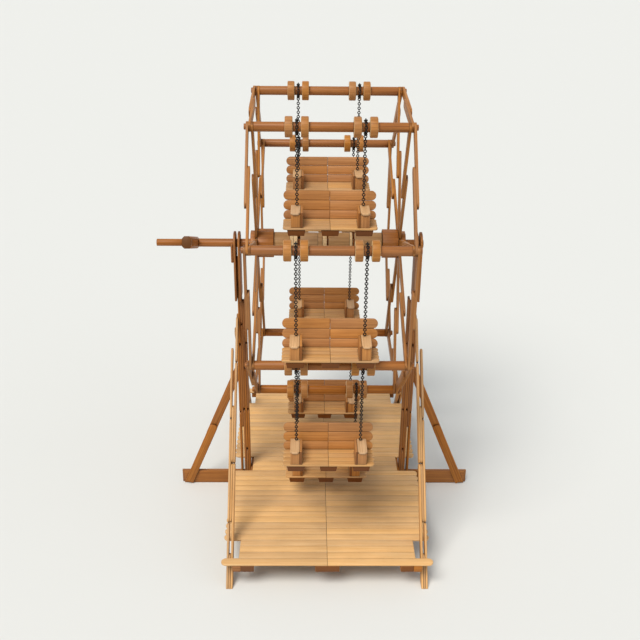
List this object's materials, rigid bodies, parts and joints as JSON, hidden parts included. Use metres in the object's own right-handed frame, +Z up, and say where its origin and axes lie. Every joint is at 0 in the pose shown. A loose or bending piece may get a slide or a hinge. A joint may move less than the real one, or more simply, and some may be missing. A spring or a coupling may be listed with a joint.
{
  "type": "crank ferris wheel toy",
  "caption": "Hand-cranked model ferris wheel made of flat wooden sticks and dowels, with chain-hung bench seats that stay level as the wheel turns on a braced stand.",
  "frame": {"origin": "on the table, under the hub, at the middle of the footprint", "axes": "+X along the axle away from the crank, +Y from the front of the benches to their backs, +Z up"},
  "size_m": [0.361, 0.3786, 0.4958],
  "materials": {
    "deck_stick": "bare pale birch, satin",
    "stand_stick": "varnished stick, satin",
    "leg_stick": "varnished pale stick, satin",
    "wheel_stick": "varnished stick, satin",
    "dowel": "varnished dowel, satin",
    "disc": "turned disc, satin",
    "seat_stick": "varnished stick, satin",
    "chain": "blackened fine chain"
  },
  "bodies": {
    "stand": {"axle_cheeks_left": "stand_stick", "axle_cheeks_right": "stand_stick", "axle_keeper": "dowel", "brace_left": "stand_stick", "brace_right": "stand_stick", "deck_boards_left": "deck_stick", "deck_boards_right": "deck_stick", "deck_joists": "stand_stick", "foot_bar_left": "stand_stick", "foot_bar_right": "stand_stick", "leg_front_left": "leg_stick", "leg_front_right": "leg_stick", "leg_rear_left": "leg_stick", "leg_rear_right": "leg_stick", "post_left": "stand_stick", "post_right": "stand_stick"},
    "wheel": {"axle": "dowel", "bar_discs": "disc", "crank_arm": "dowel", "crank_handle": "dowel", "crossbar_1": "dowel", "crossbar_2": "dowel", "crossbar_3": "dowel", "crossbar_4": "dowel", "crossbar_5": "dowel", "crossbar_6": "dowel", "crossbar_7": "dowel", "crossbar_8": "dowel", "hub_drums": "dowel", "hub_sleeves": "dowel", "wheel_rim_left": "wheel_stick", "wheel_rim_right": "wheel_stick", "wheel_spokes_left": "wheel_stick", "wheel_spokes_right": "wheel_stick"},
    "chair_1": {"chair_1_arms": "seat_stick", "chair_1_bench": "seat_stick", "chair_1_chains": "chain"},
    "chair_2": {"chair_2_arms": "seat_stick", "chair_2_bench": "seat_stick", "chair_2_chains": "chain"},
    "chair_3": {"chair_3_arms": "seat_stick", "chair_3_bench": "seat_stick", "chair_3_chains": "chain"},
    "chair_4": {"chair_4_arms": "seat_stick", "chair_4_bench": "seat_stick", "chair_4_chains": "chain"},
    "chair_5": {"chair_5_arms": "seat_stick", "chair_5_bench": "seat_stick", "chair_5_chains": "chain"},
    "chair_6": {"chair_6_arms": "seat_stick", "chair_6_bench": "seat_stick", "chair_6_chains": "chain"},
    "chair_7": {"chair_7_arms": "seat_stick", "chair_7_bench": "seat_stick", "chair_7_chains": "chain"},
    "chair_8": {"chair_8_arms": "seat_stick", "chair_8_bench": "seat_stick", "chair_8_chains": "chain"}
  },
  "joints": [
    {"name": "wheel_spin", "type": "hinge", "parent": "stand", "child": "wheel", "pos_m": [0, 0, 0.328], "axis": [1, 0, 0], "continuous": true},
    {"name": "chair_1_swing", "type": "hinge", "parent": "wheel", "child": "chair_1", "pos_m": [0, -0.1576, 0.38012], "axis": [1, 0, 0], "continuous": true},
    {"name": "chair_2_swing", "type": "hinge", "parent": "wheel", "child": "chair_2", "pos_m": [0, -0.07459, 0.4763], "axis": [1, 0, 0], "continuous": true},
    {"name": "chair_3_swing", "type": "hinge", "parent": "wheel", "child": "chair_3", "pos_m": [0, 0.05212, 0.4856], "axis": [1, 0, 0], "continuous": true},
    {"name": "chair_4_swing", "type": "hinge", "parent": "wheel", "child": "chair_4", "pos_m": [0, 0.1483, 0.40259], "axis": [1, 0, 0], "continuous": true},
    {"name": "chair_5_swing", "type": "hinge", "parent": "wheel", "child": "chair_5", "pos_m": [0, 0.1576, 0.27588], "axis": [1, 0, 0], "continuous": true},
    {"name": "chair_6_swing", "type": "hinge", "parent": "wheel", "child": "chair_6", "pos_m": [0, 0.07459, 0.1797], "axis": [1, 0, 0], "continuous": true},
    {"name": "chair_7_swing", "type": "hinge", "parent": "wheel", "child": "chair_7", "pos_m": [0, -0.05212, 0.1704], "axis": [1, 0, 0], "continuous": true},
    {"name": "chair_8_swing", "type": "hinge", "parent": "wheel", "child": "chair_8", "pos_m": [0, -0.1483, 0.25341], "axis": [1, 0, 0], "continuous": true}
  ],
  "couplings": [
    {"joint": "chair_1_swing", "follows": "wheel_spin", "ratio": -1},
    {"joint": "chair_2_swing", "follows": "wheel_spin", "ratio": -1},
    {"joint": "chair_3_swing", "follows": "wheel_spin", "ratio": -1},
    {"joint": "chair_4_swing", "follows": "wheel_spin", "ratio": -1},
    {"joint": "chair_5_swing", "follows": "wheel_spin", "ratio": -1},
    {"joint": "chair_6_swing", "follows": "wheel_spin", "ratio": -1},
    {"joint": "chair_7_swing", "follows": "wheel_spin", "ratio": -1},
    {"joint": "chair_8_swing", "follows": "wheel_spin", "ratio": -1}
  ]
}
